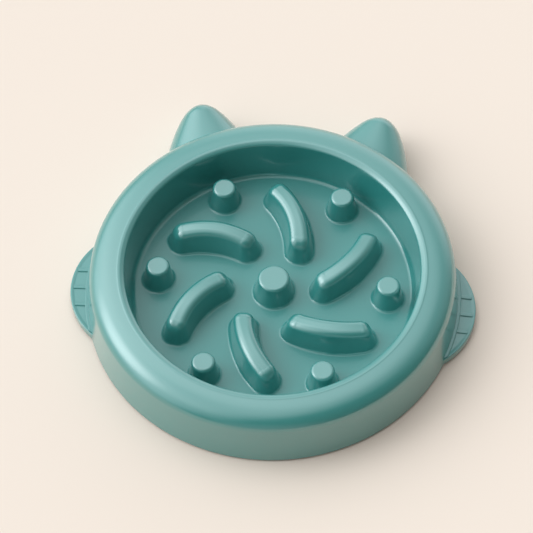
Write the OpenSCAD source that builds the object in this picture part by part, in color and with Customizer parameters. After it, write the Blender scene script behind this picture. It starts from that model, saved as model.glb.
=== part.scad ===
// Slow feeder bowl: a round moulded bowl whose floor carries a maze of round pegs and curved
// blades, with two ears at the back, a ribbed grip tab on each side and rubber feet below.
// The origin is on the table, under the middle of the whole footprint, which lies a little
// behind the middle of the round bowl. +Y points to the ears, +Z is up.

/* [Bowl] */
// Outside diameter of the skirt at its bottom edge
base_d = 230; // [215:1:250]
// Height of the skirt's bottom edge above the table
foot_lift = 1.2; // [0.8:0.1:2]
// Height of the straight skirt
skirt_h = 26.7; // [22:0.1:30]
// How far the skirt leans in over its height
skirt_lean = 2.9; // [1:0.1:4]
// Radial width of the rounded crown on top of the skirt
crown_w = 17.5; // [15:0.1:20]
// Rise of the crown from the skirt to the lip
crown_rise = 11.3; // [9:0.1:13]
// Height of the fine step from the crown up to the lip
lip_step = 0.3; // [0.1:0.1:0.6]
// Radius of the lip's roll into the bowl
lip_r = 5.2; // [3:0.1:6]
// How far the inside wall leans in between the lip and the floor
wall_lean = 2.3; // [1:0.1:4]
// Radius of the fillet between the inside wall and the floor
floor_fillet_r = 3.2; // [2:0.1:5]
// Height of the floor's top face above the table
floor_h = 10; // [8.5:0.1:12]
// Thickness of the moulded walls
wall_t = 2.4; // [2:0.1:2.8]

/* [Pegs] */
// Number of pegs around the middle, and of blades
maze_count = 6; // [4:1:6]
// Height of the pegs above the floor
peg_h = 15.8; // [12:0.1:18]
// Distance of the pegs from the middle
peg_ring_r = 73.3; // [71:0.1:74]
// How much nearer the middle the pegs beside the grip tabs stand
side_peg_inset = 2.2; // [0:0.1:3]
// Diameter of a peg at its top, before the edge is rounded
peg_top_d = 14.2; // [11:0.1:15]
// Diameter of a peg at the floor, without the fillet
peg_base_d = 18.8; // [16:0.1:20]
// Diameter of the middle peg at its top, before the edge is rounded
middle_peg_top_d = 19; // [16:0.1:21]
// Diameter of the middle peg at the floor, without the fillet
middle_peg_base_d = 24.6; // [21:0.1:26]
// Radius of the pegs' rounded top edge
peg_edge_r = 1.9; // [0.8:0.1:2.5]

/* [Blades] */
// Height of the blades above the floor
blade_h = 16.6; // [12:0.1:18]
// Radius of a blade's curved centre line
blade_arc_r = 60.9; // [58:0.1:63]
// Length of a blade's flat ridge along its centre line
blade_ridge_l = 46; // [40:0.1:50]
// Width of a blade's flat ridge
blade_ridge_w = 5.6; // [4:0.1:7]
// Radius of the roll from the ridge into a blade's sides and ends
blade_edge_r = 3.6; // [2:0.1:4.5]
// Draft angle of a blade's sides and ends
blade_draft = 9; // [4:0.5:12]
// Distance from the middle of the bowl to the centre of a blade's curve
blade_centre_r = 50.4; // [49:0.1:52]
// Angle from a blade's peg to the centre of its curve
blade_centre_turn = 93.8; // [90:0.1:97]
// Angle from a blade's peg to the middle of its curved centre line, seen from the curve's centre
blade_mid_turn = -34; // [-37:0.1:-31]
// Radius of the fillet around the foot of each peg and blade
root_fillet_r = 1.4; // [0.8:0.1:2]

/* [Ears] */
// Distance of an ear's tip from the middle plane
ear_side = 59; // [54:0.1:63]
// Distance of an ear's tip behind the middle of the bowl
ear_back = 130.1; // [125:0.1:134]
// Radius of an ear's tip, from which it widens as a parabola
ear_nose_r = 10.5; // [9:0.1:13]
// Angle that an ear points outwards from straight back
ear_lean = 14.6; // [8:0.1:24]
// Height of an ear's arched back above the table, before it slopes up to the bowl
ear_h = 29.5; // [26:0.1:31]
// Angle at which an ear's back slopes up to the bowl
ear_slope = 6.3; // [0:0.1:8]
// Height of the upright part of an ear's flank above the table
ear_flank_h = 14.2; // [9:0.1:17]

/* [Grip tabs] */
// Radius of a grip tab's outer edge
tab_r = 45; // [42:0.1:49]
// How far a grip tab stands out beyond the skirt's bottom edge
tab_reach = 10.6; // [8:0.1:13]
// Angle that each grip tab is turned towards the front
tab_turn = 2.5; // [0:0.1:8]
// Height of a grip tab's top above the table
tab_h = 7.4; // [6.4:0.1:9]
// Depth of the sunken grip in a tab
grip_depth = 1.2; // [0.6:0.1:1.6]
// Width of the raised edge outside the grip
grip_edge_w = 1.7; // [1.2:0.1:2.4]
// Width of the ledge between the grip and the skirt
grip_ledge_w = 2.4; // [1.6:0.1:3]
// Distance between the cross ribs in a grip
grip_rib_pitch = 12.5; // [10:0.1:14]
// Width of a cross rib
grip_rib_w = 3; // [2:0.1:4]
// Height of a cross rib above the floor of its grip
grip_rib_h = 0.7; // [0.3:0.1:1]

/* [Feet] */
// Number of rubber feet
foot_count = 6; // [3:1:8]
// Diameter of a foot's pad
foot_d = 16; // [12:0.5:17]
// Height of a foot's pad
foot_h = 3; // [2.6:0.1:4]
// Diameter of the stem that is pressed into the bowl
stem_d = 6; // [5:0.1:7]
// Length of the stem
stem_l = 8; // [6:0.1:12]
// Bevel on the stem's tip
stem_bevel = 0.8; // [0.4:0.1:1.2]
// Room between the stem and its bore, on each side
stem_fit = 0.05; // [0.02:0.01:0.15]
// Room above the stem's tip in its bore
stem_tip_gap = 1; // [0.5:0.1:2]
// Wall of the boss around a stem's bore
boss_wall = 2; // [1.6:0.1:2.4]
// Thickness of the web on each side of a boss
web_t = 2; // [1.6:0.1:2.6]

/* [Hidden] */
teal = [0.42, 0.67, 0.66];
rubber_grey = [0.24, 0.25, 0.25];
// Overrun of every cut, and overlap of shapes that grow out of each other
over = 1;
// Distance between faces that would otherwise coincide, such as a rounded corner and the swept
// side that it ends
seam = 0.02;
// How far the axis of a rounded corner lies inside the swept sides, so that its tip is buried
bury = 0.5;
// Facets around the bowl and around small round forms
bowl_facets = 144;
small_facets = 48;
// Steps across the crown, along the other rolled edges and along the fillets
crown_steps = 12;
roll_steps = 4;
fillet_steps = 3;
// Steps along an ear and over its arch
ear_steps = 10;
arch_steps = 14;

base_r = base_d / 2;
skirt_top_r = base_r - skirt_lean;
skirt_top_h = foot_lift + skirt_h;
crease_r = skirt_top_r - crown_w;
rim_h = skirt_top_h + crown_rise;
// Inside wall where the lip's roll ends, and where the floor's fillet begins
lip_inside_r = crease_r - lip_r;
lip_inside_h = rim_h - lip_r;
fillet_top_r = lip_inside_r - wall_lean;
fillet_top_h = floor_h + floor_fillet_r;
floor_under_h = floor_h - wall_t;
// Middle of the skirt's wall: what grows on the skirt starts here
skirt_mid_r = base_r - wall_t / 2;

// Angle that a blade's ridge covers, and how far its sides spread from the ridge to the floor
blade_span = blade_ridge_l / blade_arc_r * 180 / PI;
blade_spread = blade_edge_r + (blade_h - blade_edge_r) * tan(blade_draft);
// Half width of an ear where its form ends, deep enough inside the bowl
ear_root_w = sqrt(ear_nose_r * ear_back);
tab_centre_r = base_r + tab_reach - tab_r;
tab_floor_h = tab_h - grip_depth;
tab_edge_r = grip_edge_w / 2;
// The footprint's middle lies halfway between the skirt's front and the tips of the ears
ear_end = ear_back + ear_nose_r / 2 * tan(ear_lean) * sin(ear_lean);
footprint_back = (ear_end - base_r) / 2;
// The feet stand midway between the inside wall and the skirt
foot_ring_r = (fillet_top_r + wall_t + skirt_top_r) / 2;
boss_r = stem_d / 2 + stem_fit + boss_wall;

// Points of an arc about a centre, between two angles, for ellipses too
function arc(centre, rx, ry, from, to, steps) =
    [for (i = [0:steps]) let (a = from + (to - from) * i / steps)
        [centre[0] + rx * cos(a), centre[1] + ry * sin(a)]];

function reversed(points) = [for (i = [len(points) - 1:-1:0]) points[i]];

// Line over the rim from the skirt to the inside wall, at a depth below the outer face
function rim_line(depth) = concat(
    arc([crease_r, skirt_top_h], crown_w - depth, crown_rise - lip_step - depth, 0, 90, crown_steps),
    arc([crease_r, lip_inside_h], lip_r - depth, lip_r - depth, 90, 180, roll_steps));

// Half section of the moulded shell: skirt, crown, lip, inside wall and floor
module bowl_section() {
    polygon(concat(
        [[base_r, foot_lift]],
        rim_line(0),
        arc([fillet_top_r - floor_fillet_r, fillet_top_h], floor_fillet_r, floor_fillet_r,
            0, -90, fillet_steps),
        [[0, floor_h], [0, floor_under_h]],
        [[fillet_top_r + wall_t, floor_under_h], [lip_inside_r + wall_t, lip_inside_h]],
        reversed(rim_line(wall_t)),
        [[base_r - wall_t, foot_lift]]));
}

// Half section of a raised form: it spreads from the edge of its flat top, by the roll of its
// top edge, its draft and the fillet at its foot. The foot is sunk into the floor.
function root_profile(height, edge_r, spread) =
    let (draft = atan((spread - edge_r) / (height - edge_r)))
    concat(
        [[0, -wall_t / 2], [spread + root_fillet_r, -wall_t / 2]],
        arc([spread + root_fillet_r, root_fillet_r], root_fillet_r, root_fillet_r,
            270, 180 + draft, fillet_steps),
        arc([0, height - edge_r], edge_r, edge_r, draft, 90, roll_steps));

// The same half section moved out from its axis, which leaves a flat top of that radius
function around_flat(profile, flat_r) =
    let (last = len(profile) - 1)
    concat(
        [profile[0]],
        [for (i = [1:last]) profile[i] + [flat_r, 0]],
        [profile[last]]);

// A tapered round peg, given by its radii at the top and at the floor
module peg(top_r, foot_r) {
    flat_r = top_r - peg_edge_r;
    rotate_extrude($fn = small_facets)
        polygon(around_flat(root_profile(peg_h, peg_edge_r, foot_r - flat_r), flat_r));
}

// Core that hollows a peg from below
module peg_core(top_r, foot_r) {
    rotate_extrude($fn = small_facets)
        polygon([
            [0, -wall_t - over],
            [foot_r - wall_t, -wall_t - over],
            [foot_r - wall_t, -wall_t],
            [top_r - wall_t, peg_h - wall_t],
            [0, peg_h - wall_t]]);
}

// One end of a blade: a flat end face between two rounded corners
module blade_end() {
    face = root_profile(blade_h - seam, blade_edge_r, blade_spread);
    corner = root_profile(blade_h - 2 * seam, blade_edge_r, blade_spread - seam);
    rotate([90, 0, 90])
        linear_extrude(blade_ridge_w, center = true)
            polygon(concat([[-over, blade_h - seam], [-over, -wall_t / 2]], face));
    for (side = [-1, 1])
        translate([side * (blade_ridge_w / 2 - bury), -bury, 0])
            rotate_extrude($fn = small_facets)
                polygon(around_flat(corner, bury));
}

// A curved blade, swept about the origin, with its middle on the X axis
module blade() {
    profile = root_profile(blade_h, blade_edge_r, blade_spread);
    half = blade_ridge_w / 2;
    rotate([0, 0, -blade_span / 2])
        rotate_extrude(angle = blade_span, $fn = bowl_facets)
            polygon(concat(
                [for (p = profile) [blade_arc_r + half + p[0], p[1]]],
                [for (p = reversed(profile)) [blade_arc_r - half - p[0], p[1]]]));
    rotate([0, 0, blade_span / 2])
        translate([blade_arc_r, 0, 0])
            blade_end();
    rotate([0, 0, -blade_span / 2])
        translate([blade_arc_r, 0, 0])
            mirror([0, 1, 0])
                blade_end();
}

// Core that hollows a blade from below
module blade_core() {
    low = blade_ridge_w / 2 + blade_spread - wall_t;
    high = blade_ridge_w / 2 + blade_edge_r - wall_t;
    top = blade_h - wall_t;
    rotate([0, 0, -blade_span / 2])
        rotate_extrude(angle = blade_span, $fn = bowl_facets)
            polygon([
                [blade_arc_r - low, -wall_t - over],
                [blade_arc_r + low, -wall_t - over],
                [blade_arc_r + low, -wall_t],
                [blade_arc_r + high, top],
                [blade_arc_r - high, top],
                [blade_arc_r - low, -wall_t]]);
}

// Places a blade or its core on the floor, at its curve's centre
module at_blade(turn) {
    rotate([0, 0, turn + blade_centre_turn])
        translate([blade_centre_r, 0, floor_h])
            rotate([0, 0, blade_mid_turn - blade_centre_turn])
                children();
}

// Places a peg or its core on the ring of pegs
module at_peg(turn) {
    beside_tab = turn % 180 == 0;
    rotate([0, 0, turn])
        translate([peg_ring_r - (beside_tab ? side_peg_inset : 0), 0, floor_h])
            children();
}

// Everything inside the middle of the skirt's and crown's wall, or inside a line further out
module inside_skirt(out) {
    depth = wall_t / 2 - out;
    rotate_extrude($fn = bowl_facets)
        polygon(concat(
            [
                [0, foot_lift - over],
                [skirt_mid_r + out, foot_lift - over],
                [skirt_mid_r + out, foot_lift]],
            arc([crease_r, skirt_top_h], crown_w - depth, crown_rise - lip_step - depth, 0, 90,
                crown_steps),
            [[0, rim_h - lip_step - depth]]));
}

// Half width of an ear and its distance from the tip, for a point on its parabola that is moved
// in by a wall's thickness for the hollow
function ear_station(w, inset) =
    let (slant = norm([ear_nose_r, w]))
    [w - inset * w / slant, w * w / ear_nose_r / 2 + inset * ear_nose_r / slant];

// Height of an ear's back at a distance from the tip: it rolls down at the tip
function ear_top(along, inset) =
    let (away = max(1 - (along - inset) / (ear_nose_r - inset), 0))
    ear_flank_h + (ear_h + along * tan(ear_slope) - inset - ear_flank_h) * sqrt(1 - away * away);

// An ear that points along +Y from its tip: upright flanks under an elliptic arch
module ear_form(inset, bottom) {
    hull()
        for (i = [0:ear_steps])
            let (
                station = ear_station(seam + ear_root_w * i / ear_steps, inset),
                arch_h = ear_top(station[1], inset) - ear_flank_h)
            translate([0, -station[1], 0])
                rotate([90, 0, 0])
                    linear_extrude(seam)
                        polygon(concat(
                            [[station[0], bottom]],
                            arc([0, ear_flank_h], station[0], arch_h, 0, 180, arch_steps),
                            [[-station[0], bottom]]));
}

module at_ear(side) {
    mirror([side, 0, 0])
        translate([ear_side, ear_back, 0])
            rotate([0, 0, -ear_lean])
                children();
}

// Both ears, ending in the middle of the wall of the skirt and crown, and level with its edge
module ears() {
    difference() {
        for (side = [0, 1])
            at_ear(side)
                ear_form(0, foot_lift - over);
        inside_skirt(0);
        translate([0, 0, foot_lift - 2 * over])
            cylinder(h = 2 * over, r = base_d, $fn = small_facets);
    }
}

// The ears are open below, and the skirt goes on behind them
module ear_hollows() {
    difference() {
        for (side = [0, 1])
            at_ear(side)
                ear_form(wall_t, 0);
        inside_skirt(wall_t / 2 + seam);
    }
}

module at_tab(side) {
    mirror([side, 0, 0])
        rotate([0, 0, -tab_turn])
            children();
}

// Both grip tabs: discs with a rounded top edge, of which only the outer part is left
module tabs() {
    difference() {
        for (side = [0, 1])
            at_tab(side)
                translate([tab_centre_r, 0, 0])
                    rotate_extrude($fn = bowl_facets)
                        polygon(concat(
                            [[0, foot_lift], [tab_r, foot_lift]],
                            arc([tab_r - tab_edge_r, tab_h - tab_edge_r], tab_edge_r, tab_edge_r,
                                0, 90, fillet_steps),
                            [[0, tab_h]]));
        inside_skirt(0);
    }
}

// Sunken grip in the top of a tab, with its cross ribs left standing
module tab_grip() {
    difference() {
        translate([tab_centre_r, 0, tab_floor_h])
            cylinder(h = grip_depth + over, r = tab_r - grip_edge_w, $fn = bowl_facets);
        cylinder(h = rim_h, r = base_r + grip_ledge_w, $fn = bowl_facets);
        for (place = [-1, 0, 1])
            translate([base_r, place * grip_rib_pitch - grip_rib_w / 2, tab_floor_h - over])
                cube([2 * tab_reach, grip_rib_w, grip_rib_h + over]);
    }
}

// A tab is open below
module tab_hollow() {
    difference() {
        translate([tab_centre_r, 0, 0])
            cylinder(h = tab_floor_h - wall_t, r = tab_r - wall_t, $fn = bowl_facets);
        inside_skirt(wall_t / 2 + seam);
    }
}

// Bosses for the feet and their webs, between the middles of the walls beside them
module foot_bosses() {
    intersection() {
        rotate_extrude($fn = bowl_facets)
            polygon(concat(
                [[fillet_top_r + wall_t / 2, foot_h], [skirt_mid_r, foot_h]],
                rim_line(wall_t / 2)));
        for (i = [0:foot_count - 1])
            at_foot(i) {
                translate([0, 0, foot_h])
                    cylinder(h = rim_h, r = boss_r, $fn = small_facets);
                translate([-foot_ring_r / 2, -web_t / 2, foot_h + foot_lift])
                    cube([foot_ring_r, web_t, rim_h]);
            }
    }
}

module foot_bores() {
    for (i = [0:foot_count - 1])
        at_foot(i)
            translate([0, 0, foot_h - over])
                cylinder(
                    h = stem_l + stem_tip_gap + over,
                    r = stem_d / 2 + stem_fit,
                    $fn = small_facets);
}

// Places a foot, or its boss or bore, on the ring of feet
module at_foot(i) {
    rotate([0, 0, (i + 1 / 2) * 360 / foot_count])
        translate([foot_ring_r, 0, 0])
            children();
}

// Places what is built around the bowl's middle into the part's frame
module on_table() {
    translate([0, -footprint_back, 0])
        children();
}

module bowl_outside() {
    rotate_extrude($fn = bowl_facets)
        bowl_section();
    translate([0, 0, floor_h])
        peg(middle_peg_top_d / 2, middle_peg_base_d / 2);
    for (i = [0:maze_count - 1]) {
        at_peg(i * 360 / maze_count)
            peg(peg_top_d / 2, peg_base_d / 2);
        at_blade(i * 360 / maze_count)
            blade();
    }
    ears();
    tabs();
    foot_bosses();
}

module bowl_hollows() {
    translate([0, 0, floor_h])
        peg_core(middle_peg_top_d / 2, middle_peg_base_d / 2);
    for (i = [0:maze_count - 1]) {
        at_peg(i * 360 / maze_count)
            peg_core(peg_top_d / 2, peg_base_d / 2);
        at_blade(i * 360 / maze_count)
            blade_core();
    }
    ear_hollows();
    for (side = [0, 1])
        at_tab(side) {
            tab_grip();
            tab_hollow();
        }
    foot_bores();
}

module bowl() {
    color(teal)
        on_table()
            difference() {
                bowl_outside();
                bowl_hollows();
            }
}

// A rubber foot: a pad with a bevelled edge, and the stem that holds it in its boss
module foot(i) {
    tip_r = stem_d / 2 - stem_bevel;
    top_h = foot_h + stem_l;
    color(rubber_grey)
        on_table()
            at_foot(i)
                rotate_extrude($fn = small_facets)
                    polygon([
                        [0, 0],
                        [foot_d / 2 - stem_bevel, 0],
                        [foot_d / 2, stem_bevel],
                        [foot_d / 2, foot_h],
                        [stem_d / 2, foot_h],
                        [stem_d / 2, top_h - stem_bevel],
                        [tip_r, top_h],
                        [0, top_h]]);
}

module foot_1() foot(0);
module foot_2() foot(1);
module foot_3() foot(2);
module foot_4() foot(3);
module foot_5() foot(4);
module foot_6() foot(5);

bowl();
foot_1();
foot_2();
foot_3();
foot_4();
foot_5();
foot_6();
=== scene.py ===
"""Looks of a slow feeder bowl: a glossy moulded bowl on rubber feet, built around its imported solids.

Until a mesh is made, sizes are in millimetres from the middle of the round bowl, with z = 0 on the
table. +X is the right side, +Y points to the ears, and named angles are in degrees.
"""
import math

import bpy
import numpy as np
from mathutils import Matrix, Vector
from mathutils.geometry import delaunay_2d_cdt


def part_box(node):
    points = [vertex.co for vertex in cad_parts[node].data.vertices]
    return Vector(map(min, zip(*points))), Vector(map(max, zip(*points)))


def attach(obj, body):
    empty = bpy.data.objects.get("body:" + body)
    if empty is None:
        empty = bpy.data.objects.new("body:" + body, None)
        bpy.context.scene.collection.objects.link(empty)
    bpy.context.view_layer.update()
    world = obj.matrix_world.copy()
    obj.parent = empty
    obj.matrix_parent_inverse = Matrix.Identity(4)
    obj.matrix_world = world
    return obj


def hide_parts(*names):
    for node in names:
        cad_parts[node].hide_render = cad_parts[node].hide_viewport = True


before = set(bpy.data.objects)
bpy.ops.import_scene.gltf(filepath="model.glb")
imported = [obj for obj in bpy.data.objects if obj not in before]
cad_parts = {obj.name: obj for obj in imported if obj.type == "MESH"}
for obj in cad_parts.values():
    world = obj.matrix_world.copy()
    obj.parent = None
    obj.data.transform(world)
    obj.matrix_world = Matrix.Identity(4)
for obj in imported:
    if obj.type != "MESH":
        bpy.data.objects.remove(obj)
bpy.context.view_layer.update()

MM = 0.001
UP = np.array([0.0, 0.0, 1.0])
OTHER_SIDE = np.array([-1.0, 1.0, 1.0])

# Bowl
BASE_R = 115.0
FOOT_LIFT = 1.2
SKIRT_H = 26.7
SKIRT_LEAN = 2.9
CROWN_W = 16.9
CROWN_RISE = 10.8
WALL_LEAN = 3.2
FLOOR_FILLET_R = 3.2
FLOOR_H = 10.0
WALL_T = 2.4
EDGE_R = 0.5

# The crown leaves its crease with this slope, which dies away over a share of its width
CREASE_SLOPE = 7.0
CREASE_SHARE = 0.25

# Lip: a fine step up from the crease, of which a share is rounded over, then a roll into the bowl,
# given by its tilt at distances in from its top
LIP_STEP = 0.2
LIP_STEP_W = 0.9
LIP_STEP_ROUND_SHARE = 0.3
LIP_W = 4.0
LIP_FALL = 2.5
LIP_TILTS = [(0.0, 3.0), (0.9, 8.0), (1.6, 23.0), (3.1, 31.0), (3.5, 45.0), (3.8, 62.0), (LIP_W, 82.0)]

# Pegs, and how far each one on the ring is turned from a regular pattern
MAZE_COUNT = 6
PEG_H = 15.8
PEG_RING_R = 73.3
SIDE_PEG_INSET = 2.2
PEG_TOP_D = 14.8
PEG_BASE_D = 19.2
PEG_TURNS = [-0.1, -0.9, -0.3, -1.8, 0.6, -0.5]
MIDDLE_PEG_TOP_D = 19.8
MIDDLE_PEG_BASE_D = 25.2
MIDDLE_PEG_PLACE = (0.8, -0.8)
PEG_EDGE_R = 2.2
ROOT_FILLET_R = 2.0

# Blades: the ridge is a band along an arc, and sides and ends fall away from it
BLADE_H = 17.4
BLADE_SAG = 1.7
BLADE_ARC_R = 59.7
BLADE_RIDGE_L = 38.4
BLADE_RIDGE_W = 2.6
BLADE_SIDE = {"roll_w": 5.0, "roll_h": 4.6, "draft": 11.5}
BLADE_OUTER_END = {"roll_w": 7.4, "roll_h": 9.6, "draft": 13.0}
BLADE_INNER_END = {"roll_w": 7.7, "roll_h": 9.0, "draft": 17.0}
BLADE_CENTRE_R = 50.7
BLADE_CENTRE_TURN = 92.0
BLADE_MID_TURN = -34.5
BLADE_MIDDLE = (26.2, 56.2)
BLADE_CORE_BEVEL = 0.6

# How far each blade sits from a regular pattern, in its own frame, and how far it is turned
BLADE_SHIFTS = [(0.9, 0.3, -2.4), (0.4, 0.8, -1.0), (-0.2, 0.4, 0.9),
                (-0.7, 0.6, 0.6), (0.1, -0.3, 0.3), (-0.5, -1.8, 1.5)]

# Ears, the right one first: how far across and back the tip is, the lean and the height
EARS = [(59.7, 129.2, 14.8, 28.6), (59.2, 128.9, 16.3, 30.4)]
EAR_NOSE_R = 10.8
EAR_FLANK_H = 14.9
# Rise of an ear's back for each millimetre from its tip, and a half width that is wide enough to
# reach the bowl
EAR_RISE = 0.05
EAR_HALF_W = 60.0

# Grip tabs
TAB_R = 45.0
TAB_REACH = 10.6
TAB_TURN = 2.5
TAB_H = 7.4
GRIP_DEPTH = 1.2
GRIP_EDGE_R = 0.6
GRIP_EDGE_H = 6.5
GRIP_SLOPE_W = 2.4
GRIP_LEDGE_W = 1.2
GRIP_RIB_PITCH = 12.5
GRIP_RIB_W = 3.0
GRIP_RIB_H = 0.7
# How much steeper than a half circle a rib's sides rise, to a level top
GRIP_RIB_STEEPNESS = 1.25
# How far the slope, the ledge and the ribs reach below the grip's floor
GRIP_SLOPE_SUNK = 0.02
GRIP_LEDGE_SUNK = 0.3
GRIP_RIB_SUNK = 0.2

# Bosses for the feet
FOOT_COUNT = 6
FOOT_H = 3.0
STEM_D = 6.0
BOSS_WALL = 2.0
WEB_T = 2.0

# Worked out from the sizes above
SKIRT_TOP_R = BASE_R - SKIRT_LEAN
SKIRT_TOP_H = FOOT_LIFT + SKIRT_H
CREASE_R = SKIRT_TOP_R - CROWN_W
RIM_H = SKIRT_TOP_H + CROWN_RISE
LIP_R = CREASE_R - LIP_STEP_W
LIP_INSIDE_R = LIP_R - LIP_W
LIP_INSIDE_H = RIM_H - LIP_FALL
WALL_FOOT_R = LIP_INSIDE_R - WALL_LEAN
FLOOR_R = WALL_FOOT_R - FLOOR_FILLET_R
FLOOR_UNDER_H = FLOOR_H - WALL_T
FLOOR_UNDER_R = WALL_FOOT_R + WALL_T - EDGE_R
PEG_CORE_H = PEG_H - WALL_T
BLADE_CORE_H = BLADE_H - BLADE_SAG - WALL_T
TAB_CENTRE_R = BASE_R + TAB_REACH - TAB_R
TAB_INNER_R = TAB_R - WALL_T
TAB_FLOOR_H = TAB_H - GRIP_DEPTH
GRIP_R = TAB_R - GRIP_EDGE_R
FOOT_RING_R = (WALL_FOOT_R + WALL_T + SKIRT_TOP_R) / 2
MIDDLE_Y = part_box("bowl")[0].y / MM + BASE_R

# Steps of the nets
ROUND_STEPS = 288
PEG_STEPS = 96
BLADE_STEPS = 40
BLADE_END_STEPS = 8
BLADE_CORNER_STEPS = 14
EAR_FLANK_STEPS = 6
EAR_ARCH_STEPS = 60
EAR_LENGTH_STEPS = 36
EAR_SEARCH_STEPS = 30
TAB_STEPS = 72
GRIP_SLOPE_STEPS = 8
RIB_STEPS = 10
BOSS_STEPS = 48
WEB_STEPS = 11

# A short way along a surface, the shortest normal, how near a plate's points are to be one, and the
# grid lines to a millimetre and to a unit of normal that points have to share to be welded
NEARBY = 0.01
SHORTEST = 1e-12
PLATE_MERGE = 1e-5
POINT_GRID = 500
NORMAL_GRID = 50

# Colours, as they show in plain light
TEAL = (50, 133, 129)
PALER_TEAL = (54, 137, 133)
GREY = (60, 63, 62)
PALER_GREY = (68, 70, 69)
FLOOR_COLOUR = (235, 219, 207)
BACKDROP_COLOUR = (245, 235, 225)

# Satin of the maze's floor, each pair as where it starts and where it is full: by the upward part of
# the normal, and by height from that floor. Further down, on the grips, a share of it is left.
SATIN_FACING = (0.75, 0.98)
SATIN_ABOVE = (2.5, 0.2)
SATIN_BELOW = (-1.5, -0.5)
SATIN_ON_GRIPS = 0.5
# The shader's values where it is polished and where it is satin
FINISHES = {"Roughness": (0.3, 0.42), "Coat Weight": (1.0, 0.15)}

# Camera: turn from straight in front and rise, as seen from the bowl's middle at the skirt's foot,
# its roll and distance, how far right of that point and above it it looks, and its lens
CAMERA_TURN = 6.679
CAMERA_RISE = 56.934
CAMERA_ROLL = -1.529
CAMERA_AWAY = 1800.0
CAMERA_RIGHT = -3.56
CAMERA_UP = 19.72
CAMERA_SEES = 20000.0
FOCAL_PIXELS = 2905.11
PHOTO_PIXELS = 533
SENSOR_W = 36.0

# Half the width of the studio's floor
STUDIO_HALF = 6000.0

# Light: soft patches of sky as turn, rise, where each fades out, where it is full, and strength
SKY_LOBES = [
    (155.0, 36.0, 40.0, 4.0, 1.4),
    (180.0, 37.0, 25.0, 3.0, 1.9),
    (208.0, 38.0, 42.0, 4.0, 0.9),
    (180.0, 68.0, 45.0, 4.0, 0.85),
    (120.0, 38.0, 40.0, 4.0, 0.6),
    (85.0, 60.0, 32.0, 5.0, 0.4),
    (65.0, 80.0, 38.0, 5.0, 0.45),
    (50.0, 45.0, 50.0, 10.0, 0.28),
    (75.0, 0.0, 45.0, 10.0, 1.0),
    (190.0, 5.0, 50.0, 10.0, 0.75),
    (90.0, 0.0, 110.0, 30.0, 0.2),
    (270.0, 5.0, 36.0, 8.0, 0.3),
]
SKY_COLOUR = (0.92, 1.0, 1.03, 1.0)
SURROUND = 0.13
SURROUND_COLOUR = (1.0, 0.8, 0.65, 1.0)


class Surface:
    """Points with their normals, and the faces between them."""

    def __init__(self):
        self.points = []
        self.normals = []
        self.faces = []
        self.count = 0

    def add(self, points, normals, faces):
        self.points.append(np.asarray(points, float).reshape(-1, 3))
        self.normals.append(np.asarray(normals, float).reshape(-1, 3))
        self.faces.extend([tuple(self.count + i for i in face) for face in faces])
        self.count += len(self.points[-1])

    def net(self, points, wrap=False, flip=False, first=None, last=None):
        """A net of rows by columns whose faces look along next column x next row.

        The first and the last row can be given normals of their own.
        """
        points = np.asarray(points, float)
        if flip:
            points = points[:, ::-1]
        across = np.gradient(points, axis=0)
        if wrap:
            along = np.roll(points, -1, axis=1) - np.roll(points, 1, axis=1)
        else:
            along = np.gradient(points, axis=1)
        normals = np.cross(along, across)
        size = np.linalg.norm(normals, axis=2, keepdims=True)
        normals = normals / np.maximum(size, SHORTEST)
        if first is not None:
            normals[0] = first
        if last is not None:
            normals[-1] = last
        rows, columns = points.shape[:2]
        faces = []
        for i in range(rows - 1):
            for j in range(columns if wrap else columns - 1):
                k = (j + 1) % columns
                a, b = i * columns, (i + 1) * columns
                faces.append((a + j, a + k, b + k, b + j))
        self.add(points, normals, faces)

    def plate(self, outer, holes, height, facing):
        """A level plate inside a loop of points, without the holes' loops."""
        loops = [np.asarray(loop, float)[:, :2] for loop in [outer] + holes]
        flat, edges = [], []
        for loop in loops:
            start = len(flat)
            flat.extend(Vector(p) for p in loop)
            edges.extend((start + i, start + (i + 1) % len(loop)) for i in range(len(loop)))
        verts, _, triangles, *_ = delaunay_2d_cdt(flat, edges, [], 0, PLATE_MERGE)
        verts = np.array([tuple(v) for v in verts])
        faces = []
        for face in triangles:
            a, b, c = verts[list(face)]
            middle = (a + b + c) / 3
            if inside(middle, loops[0]) and not any(inside(middle, hole) for hole in loops[1:]):
                ab, ac = b - a, c - a
                looks_up = ab[0] * ac[1] - ab[1] * ac[0] > 0
                faces.append(tuple(face) if looks_up == (facing > 0) else tuple(face)[::-1])
        points = np.column_stack([verts, np.full(len(verts), height)])
        self.add(points, np.tile(UP * facing, (len(points), 1)), faces)


def inside(point, loop):
    """Whether a point lies in a closed loop of points."""
    x, y = loop[:, 0], loop[:, 1]
    x2, y2 = np.roll(x, -1), np.roll(y, -1)
    crosses = (y > point[1]) != (y2 > point[1])
    rise = np.where(y2 == y, 1.0, y2 - y)
    return bool(np.sum(crosses & (point[0] < (x2 - x) * (point[1] - y) / rise + x)) % 2)


def arc(centre, radius, start, end, steps, height=None):
    """Points of an arc, or of an elliptic one where a height is given beside the radius."""
    turn = np.radians(np.linspace(start, end, steps + 1))
    height = radius if height is None else height
    return np.column_stack([centre[0] + radius * np.cos(turn), centre[1] + height * np.sin(turn)])


def line(before, after, steps):
    """The points on a straight line between one stretch's end and the next one's start."""
    return np.linspace(before[-1], after[0], steps + 1)[1:-1]


def revolve(profile, steps, centre=(0.0, 0.0), lift=0.0):
    """A net around an upright axis: a row for each point of the profile."""
    profile = np.asarray(profile, float)
    turn = np.linspace(0, 2 * math.pi, steps, endpoint=False)
    x = centre[0] + np.outer(profile[:, 0], np.cos(turn))
    y = centre[1] + np.outer(profile[:, 0], np.sin(turn))
    z = np.repeat(profile[:, 1:2] + lift, steps, axis=1)
    return np.stack([x, y, z], axis=2)


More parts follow.
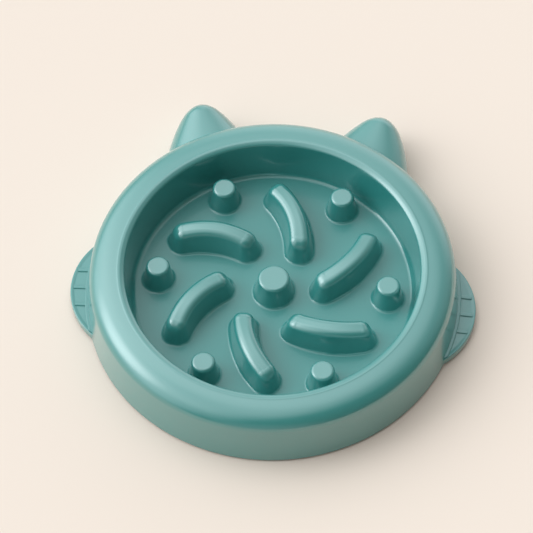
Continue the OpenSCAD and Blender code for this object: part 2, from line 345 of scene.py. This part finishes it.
def turned(points, degrees):
    """Points turned about the upright axis through the bowl's middle."""
    a = math.radians(degrees)
    x = points[..., 0] * math.cos(a) - points[..., 1] * math.sin(a)
    y = points[..., 0] * math.sin(a) + points[..., 1] * math.cos(a)
    return np.stack([x, y, points[..., 2]], axis=-1)


def mirrored(points):
    """The same net on the other side, with its columns turned round to face outwards."""
    return points[:, ::-1] * OTHER_SIDE


def smooth(t):
    return t * t * (3 - 2 * t)


def lean_angle(width, height, lean):
    """Angle on an elliptic roll at which it meets a side that leans by that many degrees."""
    return math.degrees(math.atan(height / width * math.tan(math.radians(lean))))


def lip_step(steps=8):
    """The fine riser between the crease and the lip, rounded over at its top."""
    share = np.linspace(0, 1, steps + 1)
    straight = share / (1 - LIP_STEP_ROUND_SHARE / 2)
    rounded = 1 - (1 - share) ** 2 / (2 * LIP_STEP_ROUND_SHARE * (1 - LIP_STEP_ROUND_SHARE / 2))
    rise = np.where(share < 1 - LIP_STEP_ROUND_SHARE, straight, rounded)
    return np.column_stack([CREASE_R - LIP_STEP_W * share, RIM_H - LIP_STEP * (1 - rise)])


def lip_roll(steps=40):
    """The lip's section, from its top to the inside wall: a soft shoulder, then a tight turn."""
    into = np.linspace(0, LIP_W, steps + 1)
    away, tilts = zip(*LIP_TILTS)
    slope = np.tan(np.radians(np.interp((into[1:] + into[:-1]) / 2, away, tilts)))
    down = np.concatenate([[0.0], np.cumsum(slope)])
    return np.column_stack([LIP_R - into, RIM_H - LIP_FALL * down / down[-1]])


def shell_profile():
    """Section of the bowl, from the floor's underside round the rim to the floor's top."""
    skirt_lean = math.degrees(math.atan(SKIRT_LEAN / SKIRT_H))
    wall_lean = math.degrees(math.atan(WALL_LEAN / (LIP_INSIDE_H - FLOOR_H)))
    crown_start = lean_angle(CROWN_W, CROWN_RISE, skirt_lean)
    under_lip_r = LIP_W - WALL_T
    under_crown_w = SKIRT_TOP_R - WALL_T - LIP_R

    under_edge = arc((FLOOR_UNDER_R, FLOOR_UNDER_H + EDGE_R), EDGE_R, -90, 0, steps=4)
    under_lip = arc((LIP_R, RIM_H - WALL_T - under_lip_r), under_lip_r, 180 - wall_lean, 90, steps=8)
    under_crown = arc((LIP_R, SKIRT_TOP_H), under_crown_w, 90, crown_start, steps=16,
                      height=CROWN_RISE - WALL_T)
    inner_edge = arc((BASE_R - WALL_T + EDGE_R, FOOT_LIFT + EDGE_R), EDGE_R, 180, 270, steps=4)
    outer_edge = arc((BASE_R - EDGE_R, FOOT_LIFT + EDGE_R), EDGE_R, -90, 0, steps=4)
    crown = arc((CREASE_R, SKIRT_TOP_H), CROWN_W, crown_start, 90, steps=60,
                height=CROWN_RISE - LIP_STEP)
    out = (crown[:, 0] - CREASE_R) / CROWN_W
    crown[:, 1] -= math.tan(math.radians(CREASE_SLOPE)) * CROWN_W * out * np.exp(-out / CREASE_SHARE)
    lip = lip_roll()
    fillet = arc((FLOOR_R, FLOOR_H + FLOOR_FILLET_R), FLOOR_FILLET_R, -wall_lean, -90, steps=12)
    return np.concatenate([
        under_edge, line(under_edge, under_lip, steps=6),
        under_lip, under_crown[1:], line(under_crown, inner_edge, steps=6),
        inner_edge, outer_edge, line(outer_edge, crown, steps=10),
        crown, lip_step()[1:], lip[1:], line(lip, fillet, steps=8),
        fillet,
    ])


def root_profile(height, roll_w, roll_h, draft):
    """Side of a raised form from its foot up: distance out from its flat top, and height."""
    tilt = math.radians(draft)
    roll = arc((0, height - roll_h), roll_w, lean_angle(roll_w, roll_h, draft), 90, steps=14,
               height=roll_h)
    foot = roll[0, 0] + roll[0, 1] * math.tan(tilt)
    centre = (foot + ROOT_FILLET_R * (1 / math.cos(tilt) - math.tan(tilt)), ROOT_FILLET_R)
    fillet = arc(centre, ROOT_FILLET_R, 270, 180 + draft, steps=8)
    return np.concatenate([fillet, line(fillet, roll, steps=5), roll])


def all_pegs():
    """Place, top diameter and base diameter of each peg, the middle one first."""
    pegs = [(MIDDLE_PEG_PLACE, MIDDLE_PEG_TOP_D, MIDDLE_PEG_BASE_D)]
    for i in range(MAZE_COUNT):
        beside_tab = i % (MAZE_COUNT // 2) == 0
        ring = PEG_RING_R - (SIDE_PEG_INSET if beside_tab else 0)
        turn = math.radians(360 * i / MAZE_COUNT + PEG_TURNS[i])
        pegs.append(((ring * math.cos(turn), ring * math.sin(turn)), PEG_TOP_D, PEG_BASE_D))
    return pegs


def peg_net(place, top_d, base_d):
    draft = math.degrees(math.atan((base_d - top_d) / 2 / (PEG_H - PEG_EDGE_R)))
    side = root_profile(PEG_H, PEG_EDGE_R, PEG_EDGE_R, draft)
    side[:, 0] += top_d / 2 - PEG_EDGE_R
    middle = [(0, PEG_H)]
    rows = np.concatenate([side, line(side, middle, steps=4), middle])
    return revolve(rows, PEG_STEPS, place, FLOOR_H)


def blade_ring():
    """The ridge's outline: along, across, outward along, outward across, share of the end's form."""
    half_l, half_w = BLADE_RIDGE_L / 2, BLADE_RIDGE_W / 2
    corner = np.linspace(0, 1, BLADE_CORNER_STEPS, endpoint=False)
    rows = []
    for half in (1, -1):
        for t in np.linspace(-1, 1, BLADE_STEPS, endpoint=False):
            rows.append((half * t * half_l, half * half_w, 0, half, 0))
        for t in corner:
            sine, cosine = math.sin(math.pi / 2 * t), math.cos(math.pi / 2 * t)
            rows.append((half * half_l, half * half_w, half * sine, half * cosine, smooth(t)))
        for t in np.linspace(1, -1, BLADE_END_STEPS, endpoint=False):
            rows.append((half * half_l, half * t * half_w, half, 0, 1))
        for t in corner:
            sine, cosine = math.sin(math.pi / 2 * t), math.cos(math.pi / 2 * t)
            rows.append((half * half_l, -half * half_w, half * cosine, -half * sine, 1 - smooth(t)))
    return np.array(rows)


def blade_points(along, across, height, number):
    """Places points given along and across a blade's arc, above the floor."""
    sag = BLADE_SAG * np.clip(2 * along / BLADE_RIDGE_L, -1, 1) ** 2
    z = FLOOR_H + height - sag * height / BLADE_H
    a = along / BLADE_ARC_R + math.radians(BLADE_MID_TURN)
    centre = math.radians(BLADE_CENTRE_TURN)
    r = BLADE_ARC_R + across
    x = BLADE_CENTRE_R * math.cos(centre) + r * np.cos(a) - BLADE_MIDDLE[0]
    y = BLADE_CENTRE_R * math.sin(centre) + r * np.sin(a) - BLADE_MIDDLE[1]
    shift_x, shift_y, turn = BLADE_SHIFTS[number]
    own = turned(np.stack([x, y, z], axis=-1), turn)
    own = own + np.array([BLADE_MIDDLE[0] + shift_x, BLADE_MIDDLE[1] + shift_y, 0.0])
    return turned(own, 360 * number / MAZE_COUNT)


def ridge_normals(ring, number):
    """Normals of a blade's crowned top along its outline."""
    along, across = ring[:, 0], ring[:, 1]
    inward = np.where(along > 0, -NEARBY, NEARBY)
    height = np.full(len(ring), BLADE_H)
    here = blade_points(along, across, height, number)
    next_along = blade_points(along + inward, across, height, number) - here
    next_across = blade_points(along, across + NEARBY, height, number) - here
    normals = np.cross(next_along, next_across)
    normals *= np.sign(normals[:, 2:3])
    return normals / np.linalg.norm(normals, axis=1, keepdims=True)


def blade_nets(number):
    """The sides of a blade, its crowned top and the normals where they meet."""
    ring = blade_ring()
    columns = []
    for along, across, out_along, out_across, share in ring:
        end = BLADE_OUTER_END if along > 0 else BLADE_INNER_END
        form = {k: BLADE_SIDE[k] + (end[k] - BLADE_SIDE[k]) * share for k in BLADE_SIDE}
        out, height = root_profile(BLADE_H, **form).T
        columns.append(blade_points(along + out_along * out, across + out_across * out, height, number))
    half_l, half_w = BLADE_RIDGE_L / 2, BLADE_RIDGE_W / 2
    along, across = np.meshgrid(np.linspace(-half_l, half_l, BLADE_STEPS + 1),
                                np.linspace(half_w, -half_w, BLADE_END_STEPS + 1))
    top = blade_points(along, across, np.full_like(along, BLADE_H), number)
    return np.stack(columns, axis=1), top, ridge_normals(ring, number)


def blade_core_net(number):
    """The hollow under a blade, a wall's thickness inside it."""
    reach = BLADE_SIDE["roll_w"] - WALL_T
    flare = (BLADE_H - WALL_T) * math.tan(math.radians(BLADE_SIDE["draft"]))
    bevel = BLADE_CORE_BEVEL
    side = [(reach + flare, -WALL_T), (reach + bevel, BLADE_CORE_H - bevel), (reach, BLADE_CORE_H)]
    along, across, out_along, out_across = blade_ring()[:, :4].T
    rows = []
    for out, height in side:
        rows.append(blade_points(along + out_along * out, across + out_across * out,
                                 np.full(len(along), height), number))
    return np.stack(rows)


def wall_middle(z):
    """Radius of the middle of the skirt's and crown's wall at a height."""
    if z <= SKIRT_TOP_H:
        return BASE_R - SKIRT_LEAN * (z - FOOT_LIFT) / SKIRT_H - WALL_T / 2
    share = min((z - SKIRT_TOP_H) / (CROWN_RISE - WALL_T / 2), 1.0)
    return LIP_R + (SKIRT_TOP_R - WALL_T / 2 - LIP_R) * math.sqrt(1 - share * share)


def inner_wall_middle(z):
    """Radius of the middle of the inside wall at a height."""
    return WALL_FOOT_R + WALL_LEAN * (z - FLOOR_H) / (LIP_INSIDE_H - FLOOR_H) + WALL_T / 2


def ear_point(ear, inset, half_w, u, low, rise):
    """Point of an ear's section of that half width, moved in along the normal of its outline.

    u is the point's place across, from -1 to 1, and rise its share of the arch above low.
    """
    tip_x, tip_y, lean, tip_h = ear
    back = half_w ** 2 / (2 * EAR_NOSE_R)
    slant = math.hypot(half_w, EAR_NOSE_R)
    x = u * (half_w - inset * half_w / slant)
    y = -back - inset * EAR_NOSE_R / slant
    roll = math.sqrt(1 - max(1 - back / EAR_NOSE_R, 0) ** 2)
    z = low + (tip_h - inset - EAR_FLANK_H + EAR_RISE * back) * roll * rise
    a = -math.radians(lean)
    return (tip_x + x * math.cos(a) - y * math.sin(a), tip_y + x * math.sin(a) + y * math.cos(a), z)


def ear_net(ear, inset):
    """An ear: a parabola in plan, with flanks up to a height and an arch across between them.

    Each of its lines runs from the tip to the middle of the bowl's wall.
    """
    flank = np.linspace(FOOT_LIFT, EAR_FLANK_H, EAR_FLANK_STEPS + 1)[:-1]
    arch = np.linspace(0, math.pi, EAR_ARCH_STEPS + 1)
    lines = [(1.0, z, 0.0) for z in flank]
    lines += [(math.cos(a), EAR_FLANK_H, math.sin(a)) for a in arch]
    lines += [(-1.0, z, 0.0) for z in flank[::-1]]
    columns = []
    for across in lines:
        near, far = 0.0, EAR_HALF_W
        for _ in range(EAR_SEARCH_STEPS):
            half_w = (near + far) / 2
            x, y, z = ear_point(ear, inset, half_w, *across)
            if math.hypot(x, y) > wall_middle(z):
                near = half_w
            else:
                far = half_w
        widths = np.linspace(0, near, EAR_LENGTH_STEPS + 1)
        columns.append([ear_point(ear, inset, half_w, *across) for half_w in widths])
    return np.array(columns).transpose(1, 0, 2)


def add_ears(bowl):
    """Both ears, open below, with the level edge between their outside and their hollow."""
    for ear, left in zip(EARS, (False, True)):
        outside = ear_net(ear, 0.0)
        hollow = ear_net(ear, WALL_T)
        edge = np.stack([np.concatenate([net[::-1, 0], net[1:, -1]]) for net in (hollow, outside)])
        front = turned(np.array([0.0, 1.0, 0.0]), -ear[2])
        if left:
            outside, hollow, edge = mirrored(outside), mirrored(hollow), mirrored(edge)
            front = front * OTHER_SIDE
        bowl.net(outside, first=front)
        bowl.net(hollow, flip=True, first=-front)
        bowl.net(edge)


def level_row(radius, turn, height, centre=0.0):
    """Points at one height at angles about an upright axis, for one radius or one at each angle."""
    return np.column_stack([centre + radius * np.cos(turn), radius * np.sin(turn),
                            np.full(len(turn), height)])


def crossing(tab_r, ring_r):
    """Where a circle of the right tab meets one round the bowl's middle: angles at both centres."""
    x = (ring_r ** 2 - tab_r ** 2 + TAB_CENTRE_R ** 2) / (2 * TAB_CENTRE_R)
    return math.acos((x - TAB_CENTRE_R) / tab_r), math.acos(x / ring_r)


def tab_net(profile):
    """A section swept along the right tab's outer edge, ending in the skirt's wall."""
    rows = []
    for r, z in profile:
        half, _ = crossing(r, wall_middle(z))
        rows.append(level_row(r, np.linspace(-half, half, TAB_STEPS + 1), z, TAB_CENTRE_R))
    return turned(np.stack(rows), -TAB_TURN)


def tab_level_net(tab_r, ring_r, height, steps):
    """A level face of the right tab, between one of its circles and one round the bowl's middle."""
    _, half = crossing(tab_r, ring_r)
    turn = np.linspace(-half, half, TAB_STEPS + 1)
    reach = TAB_CENTRE_R * np.cos(turn) + np.sqrt(tab_r ** 2 - (TAB_CENTRE_R * np.sin(turn)) ** 2)
    rows = [level_row(ring_r + (reach - ring_r) * share, turn, height)
            for share in np.linspace(1, 0, steps + 1)]
    return turned(np.stack(rows), -TAB_TURN)


def tab_edge():
    """Section of the tab's outer edge, over the raised edge and down to the grip's floor."""
    corner = arc((TAB_R - EDGE_R, FOOT_LIFT + EDGE_R), EDGE_R, -90, 0, steps=3)
    top = arc((GRIP_R, GRIP_EDGE_H - GRIP_EDGE_R), GRIP_EDGE_R, 0, 90, steps=8)
    share = np.linspace(0, 1, GRIP_SLOPE_STEPS + 1)[1:]
    fall = GRIP_EDGE_H - TAB_FLOOR_H + GRIP_SLOPE_SUNK
    slope = np.column_stack([GRIP_R - GRIP_SLOPE_W * share, GRIP_EDGE_H - fall * smooth(share)])
    return np.concatenate([corner, line(corner, top, steps=4), top, slope])


def ledge_net():
    """The ledge between the right tab's grip and the skirt."""
    out = BASE_R + GRIP_LEDGE_W
    section = np.concatenate([
        [(out, TAB_FLOOR_H - GRIP_LEDGE_SUNK)],
        arc((out - EDGE_R, TAB_H - EDGE_R), EDGE_R, 0, 90, steps=5),
        [(BASE_R - WALL_T, TAB_H)],
    ])
    rows = []
    for r, z in section:
        _, half = crossing(GRIP_R, max(r, wall_middle(z)))
        rows.append(level_row(r, np.linspace(-half, half, TAB_STEPS + 1), z))
    return turned(np.stack(rows), -TAB_TURN)


def rib_net(place):
    """A low rounded rib across the grip of the right tab."""
    x_in = BASE_R + GRIP_LEDGE_W / 2
    x_out = TAB_CENTRE_R + math.sqrt((GRIP_R - GRIP_SLOPE_W / 2) ** 2 - place ** 2)
    rows = []
    for a in np.linspace(math.pi, 0, RIB_STEPS + 1):
        y = place + math.cos(a) * GRIP_RIB_W / 2
        rise = min(abs(math.sin(a)) * GRIP_RIB_STEEPNESS, 1.0)
        z = TAB_FLOOR_H - GRIP_RIB_SUNK + (GRIP_RIB_H + GRIP_RIB_SUNK) * rise
        rows.append([(math.sqrt(x_in ** 2 - y ** 2), y, z), (x_out, y, z)])
    return turned(np.array(rows), -TAB_TURN)


def add_tabs(bowl):
    """Both grip tabs: outer edge, ledge, grip with its ribs, and the hollow below."""
    rim = [(TAB_INNER_R, FOOT_LIFT), (TAB_R - EDGE_R, FOOT_LIFT)]
    hollow = [(TAB_INNER_R, FOOT_LIFT), (TAB_INNER_R, TAB_FLOOR_H - WALL_T)]
    floor = tab_level_net(GRIP_R, BASE_R, TAB_FLOOR_H, steps=4)
    ceiling = tab_level_net(TAB_INNER_R, BASE_R - WALL_T / 2, TAB_FLOOR_H - WALL_T, steps=2)
    nets = [(tab_net(tab_edge()), False), (tab_net(rim), False), (tab_net(hollow), True),
            (ledge_net(), False), (floor, False), (ceiling, True)]
    nets += [(rib_net(place * GRIP_RIB_PITCH), False) for place in (-1, 0, 1)]
    for net, flip in nets:
        bowl.net(net, flip=flip)
        bowl.net(mirrored(net), flip=flip)


def boss_net(turn):
    """The boss of the foot at that turn, up to the middle of the crown's wall."""
    a = math.radians(turn)
    boss_r = STEM_D / 2 + BOSS_WALL
    edge = arc((boss_r - EDGE_R, FOOT_H + EDGE_R), EDGE_R, -90, 0, steps=3)
    profile = np.concatenate([[(STEM_D / 2, FOOT_H)], edge, [(boss_r, SKIRT_TOP_H)]])
    net = revolve(profile, BOSS_STEPS, (FOOT_RING_R * math.cos(a), FOOT_RING_R * math.sin(a)))
    away = (np.hypot(net[-1, :, 0], net[-1, :, 1]) - LIP_R) / (SKIRT_TOP_R - WALL_T - LIP_R)
    net[-1, :, 2] += (CROWN_RISE - WALL_T / 2) * np.sqrt(1 - np.clip(away, 0, 1) ** 2)
    return net


def add_bosses(bowl):
    """Bosses and webs that carry the feet, between the inside wall and the skirt."""
    half = WEB_T / 2
    low = FOOT_H + FOOT_LIFT
    heights = np.linspace(low, LIP_INSIDE_H, WEB_STEPS + 1)
    reaches = (WALL_FOOT_R + WALL_T / 2, wall_middle(low))
    under = np.array([[(reach, -half, low), (reach, half, low)] for reach in reaches])
    for i in range(FOOT_COUNT):
        turn = 360 * (i + 0.5) / FOOT_COUNT
        bowl.net(boss_net(turn), wrap=True)
        for y in (half, -half):
            side = np.array([[(wall_middle(z), y, z), (inner_wall_middle(z), y, z)] for z in heights])
            bowl.net(turned(side, turn), flip=y > 0)
        bowl.net(turned(under, turn))


def add_maze(bowl):
    """The pegs and blades, and the floor between them."""
    holes = []
    for peg in all_pegs():
        net = peg_net(*peg)
        bowl.net(net, wrap=True, first=UP, last=UP)
        holes.append(net[0])
    for i in range(MAZE_COUNT):
        sides, top, ridge = blade_nets(i)
        bowl.net(sides, wrap=True, first=UP, last=ridge)
        bowl.net(top)
        holes.append(sides[0])
    edge = revolve([(FLOOR_R, FLOOR_H)], ROUND_STEPS)[0]
    bowl.plate(edge, holes, FLOOR_H, 1)


def add_cores(bowl):
    """The hollows under the pegs and blades, and the floor's underside between them."""
    cores = []
    for place, top_d, base_d in all_pegs():
        profile = [(base_d / 2 - WALL_T, -WALL_T), (top_d / 2 - WALL_T, PEG_CORE_H)]
        cores.append((revolve(profile, PEG_STEPS, place, FLOOR_H), PEG_CORE_H))
    cores += [(blade_core_net(i), BLADE_CORE_H) for i in range(MAZE_COUNT)]
    for net, height in cores:
        bowl.net(net, wrap=True, flip=True)
        bowl.plate(net[-1], [], FLOOR_H + height, -1)
    edge = revolve([(FLOOR_UNDER_R, FLOOR_UNDER_H)], ROUND_STEPS)[0]
    bowl.plate(edge, [net[0] for net, _ in cores], FLOOR_UNDER_H, -1)


def build_bowl():
    bowl = Surface()
    bowl.net(revolve(shell_profile(), ROUND_STEPS), wrap=True, first=-UP, last=UP)
    add_maze(bowl)
    add_cores(bowl)
    add_ears(bowl)
    add_tabs(bowl)
    add_bosses(bowl)
    return bowl


def make_piece(name, surface, material):
    """Welds a surface, gives it its normals and hangs it on the frame."""
    points = np.concatenate(surface.points)
    normals = np.concatenate(surface.normals)
    key = np.round(np.column_stack([points * POINT_GRID, normals * NORMAL_GRID])).astype(np.int64)
    _, first, index = np.unique(key, axis=0, return_index=True, return_inverse=True)
    index = index.reshape(-1)
    faces = []
    for face in surface.faces:
        corners = list(dict.fromkeys(int(index[k]) for k in face))
        if len(corners) > 2:
            faces.append(corners)
    placed = (points[first] + np.array([0.0, MIDDLE_Y, 0.0])) * MM
    mesh = bpy.data.meshes.new(name)
    mesh.from_pydata(placed.tolist(), [], faces)
    mesh.polygons.foreach_set("use_smooth", [True] * len(mesh.polygons))
    mesh.normals_split_custom_set_from_vertices(normals[first].tolist())
    piece = bpy.data.objects.new(name, mesh)
    bpy.context.scene.collection.objects.link(piece)
    mesh.materials.append(material)
    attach(piece, "root")
    return piece


def srgb(r, g, b):
    """A colour given in 0 to 255 as the renderer's linear values."""
    def linear(v):
        v /= 255
        return v / 12.92 if v <= 0.04045 else ((v + 0.055) / 1.055) ** 2.4
    return linear(r), linear(g), linear(b), 1.0


def set_inputs(tree, node, values=None, sources=None):
    """Gives a node's inputs their values, and links the outputs that feed the others."""
    for socket, value in (values or {}).items():
        node.inputs[socket].default_value = value
    for socket, source in (sources or {}).items():
        tree.links.new(source, node.inputs[socket])


def add_node(tree, kind, values=None, sources=None, **settings):
    node = tree.nodes.new(kind)
    for name, value in settings.items():
        setattr(node, name, value)
    set_inputs(tree, node, values, sources)
    return node


def calculated(tree, operation, first, second):
    """The sum or product of two outputs."""
    sources = {0: first, 1: second}
    return add_node(tree, "ShaderNodeMath", sources=sources, operation=operation).outputs[0]


def ramp(tree, source, start, end, low=0.0, high=1.0, **settings):
    """An output that goes from low to high while its source goes from start to end."""
    values = {"From Min": start, "From Max": end, "To Min": low, "To Max": high}
    return add_node(tree, "ShaderNodeMapRange", values, {"Value": source}, **settings).outputs["Result"]


def varied_colour(tree, place, colour, other, scale):
    """A colour that drifts a little towards another over the surface."""
    noise = add_node(tree, "ShaderNodeTexNoise", {"Scale": scale, "Detail": 2.0}, {"Vector": place})
    mix = add_node(tree, "ShaderNodeMix", {6: srgb(*colour), 7: srgb(*other)}, {0: noise.outputs["Fac"]},
                   data_type="RGBA")
    return mix.outputs[2]


def grain(tree, place, scale, strength, depth):
    """Fine unevenness of a moulded surface."""
    noise = add_node(tree, "ShaderNodeTexNoise", {"Scale": scale, "Detail": 3.0}, {"Vector": place})
    bump = add_node(tree, "ShaderNodeBump", {"Strength": strength, "Distance": depth * MM},
                    {"Height": noise.outputs["Fac"]})
    return bump.outputs["Normal"]


def satin_floor(tree, place):
    """The maze's floor has less polish than the raised forms, and the grips are halfway between."""
    facing = add_node(tree, "ShaderNodeSeparateXYZ", sources={0: place["Normal"]}).outputs["Z"]
    height = add_node(tree, "ShaderNodeSeparateXYZ", sources={0: place["Object"]}).outputs["Z"]
    above = ramp(tree, height, *[(FLOOR_H + h) * MM for h in SATIN_ABOVE])
    below = ramp(tree, height, *[(FLOOR_H + h) * MM for h in SATIN_BELOW], low=SATIN_ON_GRIPS)
    band = calculated(tree, "MULTIPLY", above, below)
    share = calculated(tree, "MULTIPLY", ramp(tree, facing, *SATIN_FACING), band)
    return {socket: ramp(tree, share, 0.0, 1.0, *finishes) for socket, finishes in FINISHES.items()}


def new_material(name):
    """A material with its node tree and its shader."""
    material = bpy.data.materials.new(name)
    material.use_nodes = True
    return material, material.node_tree, material.node_tree.nodes["Principled BSDF"]


def gloss_plastic():
    material, tree, shader = new_material("teal_gloss_plastic")
    place = add_node(tree, "ShaderNodeTexCoord").outputs
    sources = satin_floor(tree, place)
    sources["Base Color"] = varied_colour(tree, place["Object"], TEAL, PALER_TEAL, scale=18.0)
    sources["Normal"] = grain(tree, place["Object"], scale=260.0, strength=0.04, depth=0.4)
    set_inputs(tree, shader, {"IOR": 1.68, "Coat IOR": 1.72, "Coat Roughness": 0.1}, sources)
    return material


def rubber():
    material, tree, shader = new_material("grey_rubber")
    place = add_node(tree, "ShaderNodeTexCoord").outputs
    sources = {
        "Base Color": varied_colour(tree, place["Object"], GREY, PALER_GREY, scale=90.0),
        "Normal": grain(tree, place["Object"], scale=1400.0, strength=0.25, depth=0.2),
    }
    set_inputs(tree, shader, {"Roughness": 0.75}, sources)
    return material


def floor_material():
    material, tree, shader = new_material("pale_floor")
    values = {"Base Color": srgb(*FLOOR_COLOUR), "Roughness": 0.9, "Specular IOR Level": 0.1}
    set_inputs(tree, shader, values)
    return material


def make_floor():
    half = STUDIO_HALF * MM
    corners = [(-half, -half, 0), (half, -half, 0), (half, half, 0), (-half, half, 0)]
    mesh = bpy.data.meshes.new("floor")
    mesh.from_pydata(corners, [], [(0, 1, 2, 3)])
    mesh.materials.append(floor_material())
    floor = bpy.data.objects.new("floor", mesh)
    bpy.context.scene.collection.objects.link(floor)


def direction(turn, rise):
    """A unit vector, turned from +X towards +Y and then raised."""
    turn, rise = math.radians(turn), math.radians(rise)
    return math.cos(turn) * math.cos(rise), math.sin(turn) * math.cos(rise), math.sin(rise)


def make_camera():
    """The camera, at the photograph's viewing angle."""
    back = Vector(direction(CAMERA_TURN - 90, CAMERA_RISE))
    right = Vector(direction(CAMERA_TURN, 0))
    up = back.cross(right)
    middle = Vector((0.0, MIDDLE_Y, FOOT_LIFT))
    eye = middle + right * CAMERA_RIGHT + up * CAMERA_UP + back * CAMERA_AWAY
    roll = math.radians(CAMERA_ROLL)
    rolled_right = right * math.cos(roll) + up * math.sin(roll)
    rolled_up = up * math.cos(roll) - right * math.sin(roll)
    data = bpy.data.cameras.new("camera")
    data.sensor_width = SENSOR_W
    data.lens = SENSOR_W * FOCAL_PIXELS / PHOTO_PIXELS
    data.clip_end = CAMERA_SEES * MM
    camera = bpy.data.objects.new("camera", data)
    axes = Matrix((rolled_right, rolled_up, back)).transposed()
    camera.matrix_world = Matrix.Translation(eye * MM) @ axes.to_4x4()
    bpy.context.scene.collection.objects.link(camera)
    bpy.context.scene.camera = camera


def studio_sky():
    """A soft sky, brightest at the left, that the camera sees as a plain backdrop."""
    world = bpy.data.worlds.new("studio")
    world.use_nodes = True
    tree = world.node_tree
    place = add_node(tree, "ShaderNodeTexCoord").outputs["Generated"]
    total = None
    for turn, rise, fade, full, strength in SKY_LOBES:
        towards = add_node(tree, "ShaderNodeVectorMath", {1: direction(turn, rise)}, {0: place},
                           operation="DOT_PRODUCT")
        edges = [math.cos(math.radians(angle)) for angle in (fade, full)]
        lobe = ramp(tree, towards.outputs["Value"], *edges, high=strength, interpolation_type="SMOOTHSTEP")
        total = lobe if total is None else calculated(tree, "ADD", lobe, total)
    sky = tree.nodes["Background"]
    set_inputs(tree, sky, {"Color": SKY_COLOUR}, {"Strength": total})
    surround = add_node(tree, "ShaderNodeBackground", {"Color": SURROUND_COLOUR, "Strength": SURROUND})
    both = add_node(tree, "ShaderNodeAddShader", sources={0: sky.outputs[0], 1: surround.outputs[0]})
    backdrop = add_node(tree, "ShaderNodeBackground", {"Color": srgb(*BACKDROP_COLOUR)})
    seen = add_node(tree, "ShaderNodeLightPath").outputs["Is Camera Ray"]
    mix = add_node(tree, "ShaderNodeMixShader",
                   sources={0: seen, 1: both.outputs[0], 2: backdrop.outputs[0]})
    set_inputs(tree, tree.nodes["World Output"], sources={"Surface": mix.outputs[0]})
    return world


bowl_piece = make_piece("moulded_bowl", build_bowl(), gloss_plastic())
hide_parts("bowl")

rubber_look = rubber()
for number in range(1, FOOT_COUNT + 1):
    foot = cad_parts["foot_%d" % number]
    foot.data.materials.clear()
    foot.data.materials.append(rubber_look)

make_camera()
make_floor()
bpy.context.scene.world = studio_sky()
bpy.context.scene.view_settings.view_transform = "Standard"
